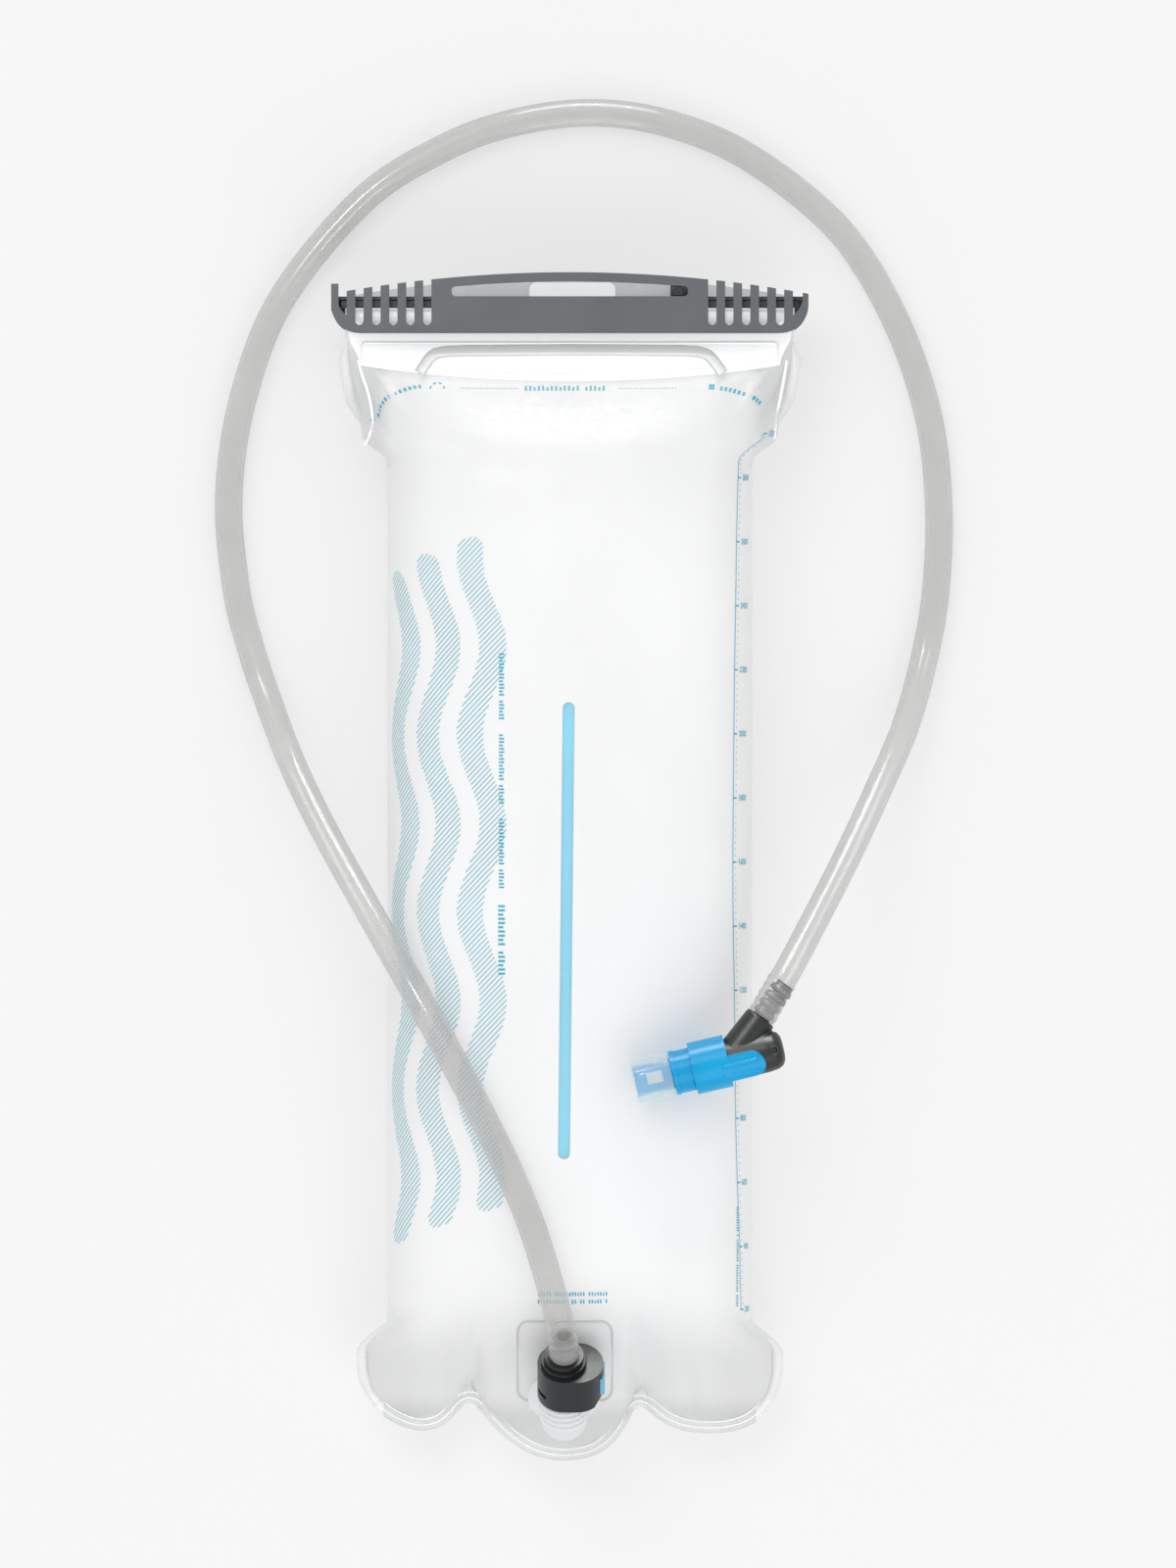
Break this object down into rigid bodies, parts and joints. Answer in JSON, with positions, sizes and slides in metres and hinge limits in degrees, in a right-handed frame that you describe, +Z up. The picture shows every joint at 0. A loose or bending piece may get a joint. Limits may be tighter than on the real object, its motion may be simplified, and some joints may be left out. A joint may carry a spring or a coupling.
{
  "type": "hydration bladder",
  "caption": "Filled soft water reservoir lying on its back, with a fold-and-slide top closure, a quick-coupled drinking hose and a twist bite valve.",
  "frame": {"origin": "middle of the footprint of the reservoir and its closure, on the surface that it lies on", "axes": "+X across the reservoir to its right as seen from the front, +Y along it towards the closure, +Z up through its front film"},
  "size_m": [0.2646, 0.488, 0.0939],
  "materials": {
    "film": "frosted translucent film",
    "stiffener": "translucent grey",
    "dark_plastic": "satin moulded",
    "clear_tab": "translucent",
    "light_blue": "satin",
    "clear_port": "clear soft plastic",
    "white_plastic": "moulded",
    "black_rubber": "satin",
    "spring_steel": "bright",
    "black_plastic": "satin",
    "barb_plastic": "satin",
    "hose": "translucent tubing",
    "blue_plastic": "glossy moulded",
    "silicone": "clear silicone"
  },
  "bodies": {
    "reservoir": {"front_panel": "film", "back_panel": "film", "mouth_flap": "film", "flap_stiffener": "stiffener", "front_rail": "dark_plastic", "rear_rail": "dark_plastic", "hang_tab": "clear_tab", "front_baffle_strip": "light_blue", "rear_baffle_strip": "light_blue", "port_patch": "film", "port_neck": "clear_port", "port_insert": "white_plastic", "port_oring": "black_rubber", "poppet_spring": "spring_steel"},
    "slide_clip": {"clip_front": "dark_plastic", "clip_rear": "dark_plastic", "tether_stud": "black_plastic"},
    "hose_line": {"coupling_housing": "dark_plastic", "button_spring": "spring_steel", "coupling_barb": "barb_plastic", "hose": "hose", "valve_elbow": "dark_plastic", "valve_barb": "barb_plastic"},
    "release_button": {"release_button": "light_blue"},
    "poppet": {"port_poppet": "white_plastic"},
    "twist_valve": {"valve_core": "blue_plastic", "twist_collar": "blue_plastic", "valve_oring": "black_rubber"},
    "bite_mouthpiece": {"mouthpiece": "silicone"}
  },
  "joints": [
    {"name": "clip_slide", "type": "slide", "parent": "reservoir", "child": "slide_clip", "axis": [-1, 0, 0], "range_m": [0, 0.175]},
    {"name": "plug_pull", "type": "slide", "parent": "reservoir", "child": "hose_line", "axis": [0, 0.682, 0.7314], "range_m": [0, 0.016]},
    {"name": "button_press", "type": "slide", "parent": "hose_line", "child": "release_button", "axis": [-1, 0, 0], "range_m": [0, 0.0016], "stiffness_N_per_m": 300, "springref_m": -0.002, "deforming": ["button_spring"]},
    {"name": "poppet_lift", "type": "slide", "parent": "reservoir", "child": "poppet", "axis": [0, 0.682, 0.7314], "range_m": [0, 0.0019], "deforming": ["poppet_spring"]},
    {"name": "valve_twist", "type": "hinge", "parent": "hose_line", "child": "twist_valve", "pos_m": [0.0226, -0.0758, 0.0845], "axis": [0.9748, 0.2233, 0], "range_deg": [0, 90]},
    {"name": "mouthpiece_pull", "type": "slide", "parent": "twist_valve", "child": "bite_mouthpiece", "axis": [-0.9748, -0.2233, 0], "range_m": [0, 0.015]}
  ],
  "couplings": [
    {"joint": "poppet_lift", "follows": "plug_pull", "ratio": 0.11875}
  ]
}
